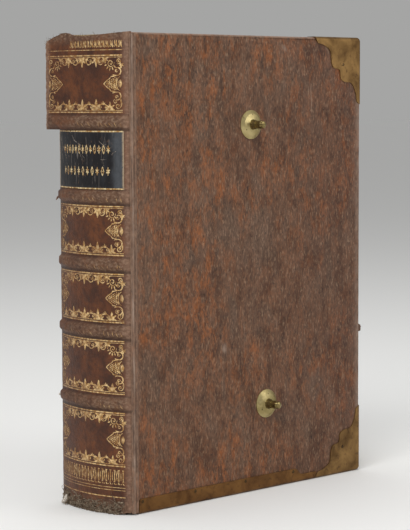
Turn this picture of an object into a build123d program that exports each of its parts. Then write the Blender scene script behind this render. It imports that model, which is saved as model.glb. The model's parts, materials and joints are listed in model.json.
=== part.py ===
from build123d import *

import os
from math import asin, cos, degrees, radians, sin

os.makedirs("parts", exist_ok=True)

# Folio choir book in full leather over wooden boards, standing on its tail.
# Z is up, X runs from the spine to the fore-edge and the front cover faces -Y.
# The origin is the middle of the book's outer box, at the surface it stands on.
# Plan sketches count x from the joint line and y from the middle of the leaves.

# The book over all
book_height = 500.0
cover_width = 350.0
book_thickness = 112.0

# Covers
board_thickness = 10.0
leather_thickness = 1.2
turn_in_thickness = 0.8
turn_in_width = 22.0
pastedown_thickness = 0.4
pastedown_margin = 0.3
cover_edge_radius = 2.6
cover_corner_radius = 4.0
joint_gap = 0.3

# Leaves
square = 5.0
leaf_clearance = 0.3
fore_edge_hollow = 11.0

# Back of the book
spine_bulge = 19.0
shoulder_radius = 7.0
spine_leather_thickness = 1.6
lining_thickness = 0.5
lining_gap = 0.15
paste_gap = 0.05
cord_rise = 4.5
cord_width = 11.0
cord_clearance = 0.5
cord_section_shares = ((0.0, 1.0), (0.7, 0.72), (1.0, 0.0), (0.7, -0.72), (0.0, -1.0))
endband_radius = 1.7
endband_inset = 0.6
endband_end_angle = 3.0
endband_sides = 6

# Raised bands, counted from the head
band_height_shares = (0.815, 0.6605, 0.5215, 0.3825, 0.2325)
band_height = 14.4
band_rise = 4.0
band_round = 3.0
band_fade_angle = 4.0

# Sprung piece of leather at the head of the spine
tear_below_band = 1.0
flap_angle = -3.0
torn_edge_loss = 6.0

# Torn head and frayed tail of the spine: shares of half the thickness across the
# back, from the front joint, and shares of the depth torn away
head_tear_depth = 16.0
head_tear_shares = (
    (-1.02, 0.0), (-0.84, 0.06), (-0.57, 0.13), (-0.36, 0.2), (0.0, 0.25), (0.25, 0.2), (0.33, 0.06),
    (0.48, 0.0), (0.56, 0.02), (0.67, 0.15), (0.78, 0.26), (0.955, 0.5), (1.02, 1.0),
)
tail_fray_depth = 5.0
tail_fray_shares = (
    (-1.02, 1.0), (-0.9, 0.8), (-0.8, 0.25), (-0.68, 0.0), (-0.5, 0.0), (-0.42, 0.35), (-0.3, 0.1),
    (-0.15, 0.0), (0.2, 0.0), (0.3, 0.45), (0.45, 0.2), (0.55, 0.0), (0.7, 0.0), (0.8, 0.6),
    (0.93, 0.3), (1.02, 1.0),
)

# Title label
label_thickness = 0.5
label_margin = 0.8
label_angle = 26.0

# Gilt tooling
gilt_thickness = 0.15
gilt_angle = 25.4
flap_gilt_margin = 1.5
rule_width = 0.9
rule_pitch = 2.3
rule_margin = 1.6
lace_margin = 1.4
lace_depth = 10.0
lace_top_shares = ((0.0, 1.0), (0.34, 0.36), (0.68, 1.0))
shield_depth = 21.0
lace_corner_shares = ((0.56, 0.8), (0.76, 1.5))
strip_mark_pitch = 12.4
strip_mark_width = 2.6
strip_mark_slant = 1.3
ornament_pitch = 15.0
ornament_width = 4.6
ornament_height = 6.2
ornament_row_shares = (0.36, 0.74)
head_strip_drop = 19.3
head_strip_height = 12.0
tail_strip_base = 30.0
tail_strip_height = 15.5

# Brass furniture
brass_thickness = 0.9
lip_width = 3.4
corner_arm = 76.0
corner_edge_shares = (
    (1.0, 0.0), (0.985, 0.06), (0.954, 0.097), (0.84, 0.118), (0.737, 0.166), (0.69, 0.205),
    (0.671, 0.257), (0.668, 0.325), (0.658, 0.388), (0.632, 0.445), (0.58, 0.467), (0.53, 0.468),
    (0.484, 0.484),
)
rail_start = 5.0
rail_end_round = 3.5
rail_height = 16.2
rail_tongue_height = 8.6
rail_step = 13.0
rail_step_to_corner = 22.0
rail_gap = 0.3

# Nails
nail_head_radius = 1.9
nail_head_height = 0.8
nail_shank_radius = 0.8
nail_length = 8.0
nail_head_taper = 35
nail_head_sides = 8
nail_shank_sides = 4
corner_nail_inset = 31.0
rail_nail_height = 13.0
rail_nail_start = 9.5
rail_nail_end = 2.1
rail_nail_count = 4

# Clasp pins on the front cover
clasp_place_shares = ((0.49, 0.806), (0.557, 0.191))
plate_radius = 15.7
plate_rim = 0.7
plate_height = 4.2
plate_land_radius = 6.0
plate_wall = 1.1
plate_nail_circle = 10.6
plate_nail_count = 3
plate_nail_head_radius = 1.3
plate_nail_head_height = 0.8
plate_nail_seat = 2.5
dome_shares = ((1.0, 0.0), (0.6, 0.66), (0.0, 1.0))
pin_reach = 21.0
pin_radius = 4.4
pin_foot_radius = 5.7
pin_flare_length = 5.5
pin_end_radius = 3.2
pin_shank_radius = 2.8
pin_end_shares = ((1.0, 0.0), (0.71, 0.71), (0.0, 1.0))
pin_flare_shares = ((1.0, 0.0), (0.0, 1.0))

# One run past a face for every cut
overrun = 2.0

# Worked-out sizes of the covers and leaves
half_thickness = book_thickness / 2
cover_thickness = leather_thickness + board_thickness + turn_in_thickness
leaf_half_thickness = half_thickness - cover_thickness - leaf_clearance
cover_low = brass_thickness
cover_high = book_height - brass_thickness
cover_height = cover_high - cover_low
leaf_low = cover_low + square
leaf_high = cover_high - square
leaf_height = leaf_high - leaf_low
leaf_width = cover_width - square

# The back is a three-centred curve: one long arc and a tight arc at each shoulder,
# all touching, so every layer of it keeps the same centres.
shoulder_offset = half_thickness - shoulder_radius
bulge_past_shoulder = spine_bulge - shoulder_radius - joint_gap
long_arc_reach = (shoulder_offset**2 + bulge_past_shoulder**2) / (2 * bulge_past_shoulder)
spine_radius = long_arc_reach + shoulder_radius
spine_centre = spine_radius - spine_bulge
spine_angle = degrees(asin(shoulder_offset / long_arc_reach))
leaf_inset = spine_leather_thickness + lining_gap + lining_thickness
leaf_radius = spine_radius - leaf_inset

# Length of the sprung leather past the place where it leaves the curve
shoulder_run = shoulder_radius * radians(90 - spine_angle)
flap_length = spine_radius * radians(spine_angle - flap_angle) + shoulder_run - torn_edge_loss
flap_lean = sin(radians(flap_angle))

# Place of the joint line and the middle of the leaves in the frame of the part
band_reach = spine_radius + band_rise
flap_end = spine_centre - band_reach * cos(radians(flap_angle)) + flap_length * flap_lean
reach_back = min(-spine_bulge - band_rise, flap_end)
reach_fore = cover_width + brass_thickness
x_joint = -(reach_back + reach_fore) / 2
y_middle = (pin_reach - brass_thickness - nail_head_height) / 2

band_places = [share * book_height for share in band_height_shares]
tear_height = band_places[0] - band_height / 2 - tear_below_band
clasp_places = [(across * cover_width, up * book_height) for across, up in clasp_place_shares]
panel_edges = [place + side * band_height / 2 for place in band_places for side in (1, -1)]

book_plane = Plane(origin=(x_joint, y_middle, 0))
front_face = Plane(
    origin=(x_joint, y_middle - half_thickness, 0), x_dir=(1, 0, 0), z_dir=(0, -1, 0)
)
mirror_plane = Plane(origin=(0, y_middle, 0), x_dir=(1, 0, 0), z_dir=(0, 1, 0))
art_plane = Plane(
    origin=(x_joint + reach_back - overrun, y_middle, 0), x_dir=(0, 1, 0), z_dir=(1, 0, 0)
)
art_depth = -reach_back + overrun
spine_axis = Axis((x_joint + spine_centre, y_middle, 0), (0, 0, -1))


def spine_plane(angle):
    """Upright plane through the spine's axis: local x runs outwards, local y up."""
    turn = radians(angle)
    return Plane(
        origin=(x_joint + spine_centre, y_middle, 0),
        x_dir=(-cos(turn), sin(turn), 0),
        z_dir=(sin(turn), cos(turn), 0),
    )


def around(centre, radius, angle):
    turn = radians(angle)
    return (centre[0] - radius * cos(turn), centre[1] + radius * sin(turn))


def arc_about(centre, radius, start, end):
    middle = (start + end) / 2
    return ThreePointArc(
        around(centre, radius, start), around(centre, radius, middle), around(centre, radius, end)
    )


def back_curve(inset):
    """The back from joint to joint, a given depth under the leather's face."""
    shoulder_inside = shoulder_radius - inset
    arc_about((-joint_gap, -shoulder_offset), shoulder_inside, -90, -spine_angle)
    arc_about((spine_centre, 0), spine_radius - inset, -spine_angle, spine_angle)
    arc_about((-joint_gap, shoulder_offset), shoulder_inside, spine_angle, 90)


def flap_curve(inset):
    """The same curve from the front joint, running off straight where it has sprung."""
    leave = around((spine_centre, 0), spine_radius - inset, flap_angle)
    turn = radians(flap_angle)
    free_end = (leave[0] + flap_length * sin(turn), leave[1] + flap_length * cos(turn))
    arc_about((-joint_gap, -shoulder_offset), shoulder_radius - inset, -90, -spine_angle)
    arc_about((spine_centre, 0), spine_radius - inset, -spine_angle, flap_angle)
    Line(leave, free_end)
    return free_end


def save(piece, name):
    piece.part.label = name
    export_step(piece.part, f"parts/{name}.step")


# Leaves: one block with a rounded, shouldered back and a hollow fore-edge
with BuildPart() as text_block:
    with BuildSketch(book_plane.offset(leaf_low)):
        with BuildLine():
            back_curve(leaf_inset)
            shoulder_tip = half_thickness - leaf_inset
            for side in (-1, 1):
                Polyline(
                    (-joint_gap, side * shoulder_tip),
                    (-joint_gap, side * leaf_half_thickness),
                    (leaf_width, side * leaf_half_thickness),
                )
            ThreePointArc(
                (leaf_width, -leaf_half_thickness),
                (leaf_width - fore_edge_hollow, 0),
                (leaf_width, leaf_half_thickness),
            )
        make_face()
    extrude(amount=leaf_height)
save(text_block, "text_block")


def wrap(section, start, end, mode=Mode.ADD):
    """Turn an upright section round the spine's axis between two angles."""
    revolve(section.faces(), axis=spine_axis, revolution_arc=end - start, mode=mode)


def cord_section(place, angle):
    half = cord_width / 2
    with BuildSketch(spine_plane(angle)) as section:
        with BuildLine():
            Polyline(
                *[(leaf_radius + out * cord_rise, place + up * half) for out, up in cord_section_shares],
                close=True,
            )
        make_face()
    return section.sketch


# Sewing cords laid across the back, one under each raised band
cord_angle = spine_angle - band_fade_angle
with BuildPart() as sewing_cords:
    for place in band_places:
        wrap(cord_section(place, -cord_angle), -cord_angle, cord_angle)
save(sewing_cords, "sewing_cords")

# Lining glued to the back between the cords
cord_reach = cord_width / 2 + cord_clearance
lining_tops = [leaf_high] + [place - cord_reach for place in band_places]
lining_bases = [place + cord_reach for place in band_places] + [leaf_low]
with BuildPart() as spine_lining:
    with BuildSketch(spine_plane(-spine_angle)):
        for top, base in zip(lining_tops, lining_bases):
            with Locations((leaf_radius, base)):
                Rectangle(lining_thickness, top - base, align=(Align.MIN, Align.MIN))
    revolve(axis=spine_axis, revolution_arc=2 * spine_angle)
save(spine_lining, "spine_lining")

# Endbands lying on the leaves at head and tail, just inside the back
endband_angle = spine_angle - endband_end_angle
endband_centre = leaf_radius - endband_inset - endband_radius
with BuildPart() as endbands:
    with BuildSketch(spine_plane(-endband_angle)):
        with Locations(
            (endband_centre, leaf_high + endband_radius), (endband_centre, leaf_low - endband_radius)
        ):
            RegularPolygon(endband_radius, side_count=endband_sides)
    revolve(axis=spine_axis, revolution_arc=2 * endband_angle)
save(endbands, "endbands")


def ridge_section(places, angle):
    """Section of the leather over the cords: flat-topped, with rounded shoulders."""
    buried = spine_leather_thickness / 2
    with BuildSketch(spine_plane(angle)) as section:
        for place in places:
            with Locations((spine_radius - buried, place)):
                Rectangle(band_rise + buried, band_height, align=(Align.MIN, Align.CENTER))
        chamfer(section.vertices().group_by(Axis.X)[-1], band_round)
    return section.sketch


def fade_wedge(side):
    """Plan of what is pared off a band where it runs out at a joint."""
    centre = (spine_centre, 0)
    clear = band_reach + overrun
    with BuildSketch(book_plane) as wedge:
        Polygon(
            around(centre, spine_radius, side * spine_angle),
            around(centre, band_reach, side * cord_angle),
            around(centre, clear, side * cord_angle),
            around(centre, clear + overrun, side * (spine_angle + band_fade_angle)),
        )
    return wedge.sketch


# Raised bands of the covering leather, the first of them on the sprung piece
with BuildPart() as band_ridges:
    wrap(ridge_section(band_places[1:], -spine_angle), -spine_angle, spine_angle)
    for side in (-1, 1):
        extrude(fade_wedge(side), amount=book_height, mode=Mode.SUBTRACT)
with BuildPart() as flap_ridge:
    wrap(ridge_section(band_places[:1], -spine_angle), -spine_angle, flap_angle)
    extrude(ridge_section(band_places[:1], flap_angle), amount=flap_length)
    extrude(fade_wedge(-1), amount=book_height, mode=Mode.SUBTRACT)


def torn_outline(shares, edge, depth, beyond):
    """Upright outline between a torn edge and a line past the end of the leather."""
    torn = [(across * half_thickness, edge + down * depth) for across, down in shares]
    with BuildSketch(art_plane) as outline:
        Polygon(*torn, (torn[-1][0], beyond), (torn[0][0], beyond))
    return outline.sketch


# Covering leather of the back, torn free at the head behind the rear joint
with BuildPart() as spine_leather:
    inner_half = half_thickness - spine_leather_thickness
    with BuildSketch(book_plane):
        with BuildLine():
            back_curve(0)
            back_curve(spine_leather_thickness)
            for side in (-1, 1):
                Line((-joint_gap, side * half_thickness), (-joint_gap, side * inner_half))
        make_face()
    extrude(amount=tear_height)
    with BuildSketch(book_plane.offset(tear_height)):
        with BuildLine():
            Line(flap_curve(0), flap_curve(spine_leather_thickness))
            Line((-joint_gap, -half_thickness), (-joint_gap, -inner_half))
        make_face()
    extrude(amount=book_height - tear_height)
    add(band_ridges.part)
    add(flap_ridge.part)
    add(sewing_cords.part, mode=Mode.SUBTRACT)
    groove = cord_section(band_places[0], flap_angle)
    extrude(groove, amount=flap_length + overrun, mode=Mode.SUBTRACT)
    torn_head = torn_outline(head_tear_shares, book_height, -head_tear_depth, book_height + overrun)
    frayed_tail = torn_outline(tail_fray_shares, 0, tail_fray_depth, -overrun)
    extrude(torn_head, amount=art_depth + overrun, mode=Mode.SUBTRACT)
    extrude(frayed_tail, amount=art_depth + overrun, mode=Mode.SUBTRACT)
save(spine_leather, "spine_leather")

# Title label pasted on the second panel
label_radius = spine_radius + paste_gap
label_low = panel_edges[2] + label_margin
label_high = tear_height - label_margin
with BuildPart() as title_label:
    with BuildSketch(spine_plane(-label_angle)):
        with Locations((label_radius, label_low)):
            Rectangle(label_thickness, label_high - label_low, align=(Align.MIN, Align.MIN))
    revolve(axis=spine_axis, revolution_arc=2 * label_angle)
save(title_label, "title_label")


def slab(depth, low, high, reach, corner):
    """Upright outline from the joint to the fore-edge, with two rounded corners."""
    with BuildSketch(front_face.offset(-depth)) as outline:
        with Locations((joint_gap, low)):
            Rectangle(reach - joint_gap, high - low, align=(Align.MIN, Align.MIN))
        fillet(outline.vertices().group_by(Axis.X)[-1], corner)
    return outline.sketch


def outer_rim(piece):
    """Edges of the outer face, apart from the one along the joint."""
    return piece.faces().sort_by(Axis.Y)[0].edges().sort_by(Axis.X)[1:]


# Wooden board with rounded edges, mirrored later for the back cover
with BuildPart() as plain_board:
    board_outline = slab(
        leather_thickness,
        cover_low + leather_thickness,
        cover_high - leather_thickness,
        cover_width - leather_thickness,
        cover_corner_radius - leather_thickness,
    )
    extrude(board_outline, amount=-board_thickness)
    chamfer(outer_rim(plain_board), cover_edge_radius - leather_thickness)

# The space of the whole leather-covered board
with BuildPart() as cover_space:
    cover_outline = slab(0, cover_low, cover_high, cover_width, cover_corner_radius)
    extrude(cover_outline, amount=-cover_thickness)
    fillet(outer_rim(cover_space), cover_edge_radius)

# The space inside the outer faces of the brass, one wall out from the leather
with BuildPart() as brass_space:
    brass_corner = cover_corner_radius + brass_thickness
    extrude(
        slab(-brass_thickness, 0, book_height, reach_fore, brass_corner),
        amount=-cover_thickness - 2 * brass_thickness,
    )
    fillet(outer_rim(brass_space), cover_edge_radius + brass_thickness)

# Leather drawn over the board and turned in on its inner face
turn_in_low = cover_low + turn_in_width
turn_in_reach = cover_width - turn_in_width
turn_in_height = cover_height - 2 * turn_in_width
with BuildPart() as plain_leather:
    add(cover_space.part)
    add(plain_board.part, mode=Mode.SUBTRACT)
    with BuildSketch(front_face.offset(-cover_thickness)):
        with Locations((0, turn_in_low)):
            Rectangle(turn_in_reach, turn_in_height, align=(Align.MIN, Align.MIN))
    extrude(amount=turn_in_thickness, mode=Mode.SUBTRACT)

# Paper pasted on the inner face of the board between the turn-ins
with BuildPart() as front_pastedown:
    with BuildSketch(front_face.offset(-leather_thickness - board_thickness)):
        with Locations((joint_gap, turn_in_low + pastedown_margin)):
            Rectangle(
                turn_in_reach - joint_gap - pastedown_margin,
                turn_in_height - 2 * pastedown_margin,
                align=(Align.MIN, Align.MIN),
            )
    extrude(amount=-pastedown_thickness)
save(front_pastedown, "front_pastedown")


def corner_outline(edge, upright):
    """Scalloped outline of a corner plate, alike on both sides of its diagonal."""

    def place(along, across):
        return (reach_fore - along * corner_arm, edge + upright * across * corner_arm)

    beyond = -overrun / corner_arm
    with BuildSketch(front_face.offset(brass_thickness + overrun)) as outline:
        Polygon(
            *[place(along, across) for along, across in corner_edge_shares],
            *[place(along, across) for across, along in corner_edge_shares[-2::-1]],
            place(beyond, 1),
            place(beyond, beyond),
            place(1, beyond),
            align=None,
        )
    return outline.sketch


rail_tip = reach_fore - corner_arm - rail_gap
rail_narrow = rail_tip - rail_step_to_corner
rail_wide = rail_narrow - rail_step


def rail_outline():
    """Rail along the tail edge, narrowed to a tongue that meets the corner plate."""
    step_middle = ((rail_narrow + rail_wide) / 2, (rail_height + rail_tongue_height) / 2)
    round_end = (rail_start + rail_end_round, rail_height)
    with BuildSketch(front_face.offset(brass_thickness + overrun)) as outline:
        with BuildLine():
            Polyline(
                (rail_start, rail_height - rail_end_round),
                (rail_start, -overrun),
                (rail_tip, -overrun),
                (rail_tip, rail_tongue_height),
                (rail_narrow, rail_tongue_height),
            )
            TangentArc((rail_narrow, rail_tongue_height), step_middle, tangent=(-1, 0))
            TangentArc((rail_wide, rail_height), step_middle, tangent=(1, 0))
            Line((rail_wide, rail_height), round_end)
            RadiusArc(round_end, (rail_start, rail_height - rail_end_round), -rail_end_round)
        make_face()
    return outline.sketch


def nail_group(places, seat, head_radius, head_height):
    """Nails with a faceted head and a square shank, driven in at the places given."""
    for radius, sides, amount, taper in (
        (head_radius, nail_head_sides, head_height, nail_head_taper),
        (nail_shank_radius, nail_shank_sides, -nail_length, 0),
    ):
        with BuildSketch(front_face.offset(seat)) as ends:
            with Locations(*places):
                RegularPolygon(radius, side_count=sides)
        extrude(ends.sketch, amount=amount, taper=taper)


corner_nail_across = reach_fore - corner_nail_inset
corner_nail_places = [
    (corner_nail_across, book_height - corner_nail_inset),
    (corner_nail_across, corner_nail_inset),
]
rail_nail_pitch = (rail_wide - rail_nail_end - rail_nail_start) / (rail_nail_count - 1)
rail_nail_places = [
    (rail_nail_start + step * rail_nail_pitch, rail_nail_height) for step in range(rail_nail_count)
]
with BuildPart() as front_corner_nails:
    nail_group(corner_nail_places, brass_thickness, nail_head_radius, nail_head_height)
with BuildPart() as front_rail_nails:
    nail_group(rail_nail_places, brass_thickness, nail_head_radius, nail_head_height)


def brass_shell(outline, nails):
    """Thin wall round the cover inside an outline, with a narrow lip on the inner face."""
    wall_and_lip = brass_thickness + lip_width
    extrude(outline, amount=-cover_thickness - 2 * (brass_thickness + overrun))
    add(brass_space.part, mode=Mode.INTERSECT)
    add(cover_space.part, mode=Mode.SUBTRACT)
    with BuildSketch(front_face.offset(-cover_thickness)) as inner_face:
        with Locations((0, wall_and_lip)):
            Rectangle(
                reach_fore - wall_and_lip, book_height - 2 * wall_and_lip, align=(Align.MIN, Align.MIN)
            )
    extrude(inner_face.sketch, amount=-brass_thickness - overrun, mode=Mode.SUBTRACT)
    add(nails.part, mode=Mode.SUBTRACT)


with BuildPart() as front_corners:
    both_outlines = corner_outline(book_height, -1).faces() + corner_outline(0, 1).faces()
    brass_shell(both_outlines, front_corner_nails)
with BuildPart() as front_rail:
    brass_shell(rail_outline().faces(), front_rail_nails)

shared_pieces = {
    "corners": front_corners,
    "rail": front_rail,
    "corner_nails": front_corner_nails,
    "rail_nails": front_rail_nails,
}
mirrored_pieces = {
    "board": plain_board,
    "cover_leather": plain_leather,
    "pastedown": front_pastedown,
}
for name, piece in shared_pieces.items():
    save(piece, f"front_{name}")
for name, piece in (shared_pieces | mirrored_pieces).items():
    with BuildPart() as back_piece:
        mirror(piece.part, about=mirror_plane)
    save(back_piece, f"back_{name}")

# The front board and its leather, drilled for the two clasp pins
for name, piece in (("front_board", plain_board), ("front_cover_leather", plain_leather)):
    with BuildPart() as drilled:
        add(piece.part)
        with BuildSketch(front_face):
            with Locations(*clasp_places):
                Circle(pin_shank_radius)
        extrude(amount=-cover_thickness, mode=Mode.SUBTRACT)
    save(drilled, name)


def clasp_section(place):
    """Plane through a clasp pin's axis: local y points out of the cover."""
    return Plane(origin=front_face.from_local_coords((*place, 0)), x_dir=(1, 0, 0), z_dir=(0, 0, -1))


def clasp_axis(place):
    return Axis(front_face.from_local_coords((*place, 0)), (0, -1, 0))


# Domed plates, their nails and the turned pins that the straps hooked over
pin_shoulder = pin_reach - pin_end_radius
pin_end_points = [
    (pin_radius - (1 - out) * pin_end_radius, pin_shoulder + up * pin_end_radius)
    for out, up in pin_end_shares
]
pin_flare_points = [
    (pin_radius + out * (pin_foot_radius - pin_radius), plate_height + up * pin_flare_length)
    for out, up in pin_flare_shares
]
rivet_depth = leather_thickness + board_thickness
plate_slope = plate_radius - plate_land_radius
plate_rise = plate_height - plate_rim
dome_points = [
    (plate_land_radius + out * plate_slope, plate_rim + up * plate_rise) for out, up in dome_shares
]
nail_turns = [radians(turn * 360 / plate_nail_count) for turn in range(plate_nail_count)]
with BuildPart() as plate_nails:
    plate_nail_places = [
        (across + plate_nail_circle * sin(turn), height + plate_nail_circle * cos(turn))
        for across, height in clasp_places
        for turn in nail_turns
    ]
    nail_group(plate_nail_places, plate_nail_seat, plate_nail_head_radius, plate_nail_head_height)
save(plate_nails, "plate_nails")
with BuildPart() as clasp_plates:
    for place in clasp_places:
        with BuildSketch(clasp_section(place)) as plate_section:
            with BuildLine():
                Polyline(
                    (plate_radius, 0),
                    *dome_points,
                    (pin_shank_radius, plate_height),
                    (pin_shank_radius, plate_height - plate_wall),
                    (plate_land_radius, plate_height - plate_wall),
                    (plate_radius - plate_wall, 0),
                    close=True,
                )
            make_face()
        revolve(plate_section.sketch, axis=clasp_axis(place))
    add(plate_nails.part, mode=Mode.SUBTRACT)
save(clasp_plates, "clasp_plates")
with BuildPart() as clasp_pins:
    for place in clasp_places:
        with BuildSketch(clasp_section(place)) as pin_section:
            with BuildLine():
                Polyline(
                    (0, pin_reach),
                    (0, -rivet_depth),
                    (pin_shank_radius, -rivet_depth),
                    (pin_shank_radius, plate_height),
                    *pin_flare_points,
                    *pin_end_points,
                    close=True,
                )
            make_face()
        revolve(pin_section.sketch, axis=clasp_axis(place))
save(clasp_pins, "clasp_pins")


def film_section(low, high, radius, angle):
    with BuildSketch(spine_plane(angle)) as section:
        with Locations((radius, low)):
            Rectangle(gilt_thickness, high - low, align=(Align.MIN, Align.MIN))
    return section.sketch


def gilt_film(low, high, radius):
    """Thin film over the long curve of the back, to be cut to a pattern."""
    wrap(film_section(low, high, radius, -gilt_angle), -gilt_angle, gilt_angle)


def sprung_film(low, high, radius):
    """The same film over the sprung piece, straight past the place where it leaves."""
    wrap(film_section(low, high, radius, -gilt_angle), -gilt_angle, flap_angle)
    free_film = film_section(low, high, radius, flap_angle)
    extrude(free_film, amount=flap_length - flap_gilt_margin)


def cut_pattern(pattern, low, high, left, right):
    with BuildSketch(art_plane) as drawn:
        pattern(low, high, left, right)
    extrude(drawn.sketch, amount=art_depth, mode=Mode.INTERSECT)


def rule(height):
    with Locations((0, height)):
        Rectangle(2 * book_thickness, rule_width)


def row_places(left, right, wanted_pitch):
    """Evenly spaced centres that fill the width at about the pitch asked for."""
    count = round((right - left) / wanted_pitch)
    pitch = (right - left) / count
    return pitch, [left + (step + 1 / 2) * pitch for step in range(count)]


def lace_frame(low, high, left, right):
    """Two rules and a frame whose inner edge has pendants and a shield at each side."""
    middle = ((left + right) / 2, (low + high) / 2)
    for edge in (high - rule_margin, low + rule_margin):
        rule(edge)
    half_width = (right - left) / 2
    half_height = (high - low) / 2 - rule_margin - rule_pitch - lace_margin
    with Locations(middle):
        Rectangle(2 * half_width, 2 * half_height)
    upper_right = [
        (half_width - in_from_side * shield_depth, half_height - in_from_top * lace_depth)
        for in_from_side, in_from_top in lace_corner_shares
    ]
    upper_right.append((half_width - shield_depth, 0))
    first = upper_right[0][0]
    top = [(along * first, half_height - down * lace_depth) for along, down in lace_top_shares]
    quarter = top + upper_right
    half_ring = quarter + [(across, -up) for across, up in quarter[-2::-1]]
    ring = half_ring + [(-across, up) for across, up in half_ring[-2:0:-1]]
    Polygon(*[(middle[0] + across, middle[1] + up) for across, up in ring], mode=Mode.SUBTRACT)


def slanted_marks(low, high, left, right):
    """Row of short slanted strokes between two rules."""
    rule(low + rule_margin)
    rule(high - rule_margin)
    bottom = low + rule_margin + rule_pitch
    top = high - rule_margin - rule_pitch
    for across in row_places(left, right, strip_mark_pitch)[1]:
        Polygon(
            (across - strip_mark_slant - strip_mark_width, bottom),
            (across - strip_mark_slant, bottom),
            (across + strip_mark_slant, top),
            (across + strip_mark_slant - strip_mark_width, top),
        )


def label_pattern(low, high, left, right):
    """Rules at both ends of the label and two rows of small lozenges."""
    rule(low + rule_margin)
    rule(high - rule_margin)
    for share in ornament_row_shares:
        height = low + share * (high - low)
        for across in row_places(left, right, ornament_pitch)[1]:
            Polygon(
                (across - ornament_width / 2, height),
                (across, height + ornament_height / 2),
                (across + ornament_width / 2, height),
                (across, height - ornament_height / 2),
            )


# Gilt tooling of the back
gilt_half = spine_radius * sin(radians(gilt_angle))
flap_half = flap_length - flap_gilt_margin + spine_radius * sin(radians(flap_angle))
head_strip_base = book_height - head_strip_drop
head_strip_top = head_strip_base + head_strip_height
tail_strip_top = tail_strip_base + tail_strip_height
plain_panels = [
    (panel_edges[4], panel_edges[3]),
    (panel_edges[6], panel_edges[5]),
    (panel_edges[8], panel_edges[7]),
    (tail_strip_top, panel_edges[9]),
]


sprung_stretches = [
    (slanted_marks, head_strip_base, head_strip_top),
    (lace_frame, panel_edges[0], head_strip_base),
]
fixed_stretches = [(lace_frame, low, high) for low, high in plain_panels]
fixed_stretches.append((slanted_marks, tail_strip_base, tail_strip_top))
gilt_radius = spine_radius + paste_gap
tooled_parts = []
for pattern, low, high in sprung_stretches:
    with BuildPart() as tooled:
        sprung_film(low, high, gilt_radius)
        cut_pattern(pattern, low, high, -gilt_half, flap_half)
    tooled_parts.append(tooled.part)
for pattern, low, high in fixed_stretches:
    with BuildPart() as tooled:
        gilt_film(low, high, gilt_radius)
        cut_pattern(pattern, low, high, -gilt_half, gilt_half)
    tooled_parts.append(tooled.part)
with BuildPart() as gilt_label:
    gilt_film(label_low, label_high, label_radius + label_thickness + paste_gap)
    cut_pattern(label_pattern, label_low, label_high, -gilt_half, gilt_half)
with BuildPart() as gilt_tooling:
    add([*tooled_parts, gilt_label.part])
save(gilt_tooling, "gilt_tooling")
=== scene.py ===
import json
import math
import random

import bmesh
import bpy
from mathutils import Matrix, Vector, noise


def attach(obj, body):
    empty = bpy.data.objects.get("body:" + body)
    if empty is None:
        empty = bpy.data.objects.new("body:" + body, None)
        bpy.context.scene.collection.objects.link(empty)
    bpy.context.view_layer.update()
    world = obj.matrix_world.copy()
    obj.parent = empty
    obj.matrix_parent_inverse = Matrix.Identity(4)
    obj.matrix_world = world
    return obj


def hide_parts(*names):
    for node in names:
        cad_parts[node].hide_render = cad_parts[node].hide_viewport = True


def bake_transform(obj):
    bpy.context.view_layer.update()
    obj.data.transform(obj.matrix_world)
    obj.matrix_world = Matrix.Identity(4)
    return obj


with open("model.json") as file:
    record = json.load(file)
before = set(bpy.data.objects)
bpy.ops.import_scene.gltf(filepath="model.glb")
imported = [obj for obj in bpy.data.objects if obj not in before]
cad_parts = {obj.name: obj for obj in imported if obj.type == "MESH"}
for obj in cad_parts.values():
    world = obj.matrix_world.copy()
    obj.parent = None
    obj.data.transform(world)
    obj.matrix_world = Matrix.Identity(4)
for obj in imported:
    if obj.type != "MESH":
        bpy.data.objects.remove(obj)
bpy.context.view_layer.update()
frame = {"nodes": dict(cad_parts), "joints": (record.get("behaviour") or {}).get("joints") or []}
mm = 0.001
hinges = {joint["name"]: Vector(joint["pos_m"]) for joint in frame["joints"]}
frontHinge = hinges["front_cover_hinge"]
backHinge = hinges["back_cover_hinge"]
bookMiddle = (frontHinge.y + backHinge.y) / 2
bookHeight = 500.0
noise.seed_set(1)  # noise vectors start from the clock unless seeded
print("frame loaded")


# small helpers

def clamp(value, low=0.0, high=1.0):
    return max(low, min(high, value))


def ease(start, end, value):
    share = clamp((value - start) / (end - start))
    return share * share * (3 - 2 * share)


def rough(x, y, z=0.0, scale=1.0):
    return noise.noise(Vector((x * scale, y * scale, z)))


def between(points, value):
    # straight runs through a list of (place, result)
    if value <= points[0][0]:
        return points[0][1]
    for (startPlace, startValue), (endPlace, endValue) in zip(points, points[1:]):
        if value <= endPlace:
            share = (value - startPlace) / (endPlace - startPlace)
            return startValue + share * (endValue - startValue)
    return points[-1][1]


def pick(piece):
    bpy.ops.object.select_all(action="DESELECT")
    piece.select_set(True)
    bpy.context.view_layer.objects.active = piece


def workIn(mode):
    bpy.ops.object.mode_set(mode=mode)


def newSheet(name, columns, rows):
    # a grid two units wide, bent into place by its vertices
    bpy.ops.mesh.primitive_grid_add(x_subdivisions=columns, y_subdivisions=rows, size=2)
    sheet = bpy.context.active_object
    sheet.name = name
    return sheet


def thicken(sheet, thickness, offset=-1):
    skin = sheet.modifiers.new("skin", "SOLIDIFY")
    skin.thickness = thickness * mm
    skin.offset = offset
    pick(sheet)
    bpy.ops.object.modifier_apply(modifier=skin.name)


def faceOutwards(piece):
    pick(piece)
    workIn("EDIT")
    bpy.ops.mesh.select_all(action="SELECT")
    bpy.ops.mesh.normals_make_consistent(inside=False)
    workIn("OBJECT")


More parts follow.
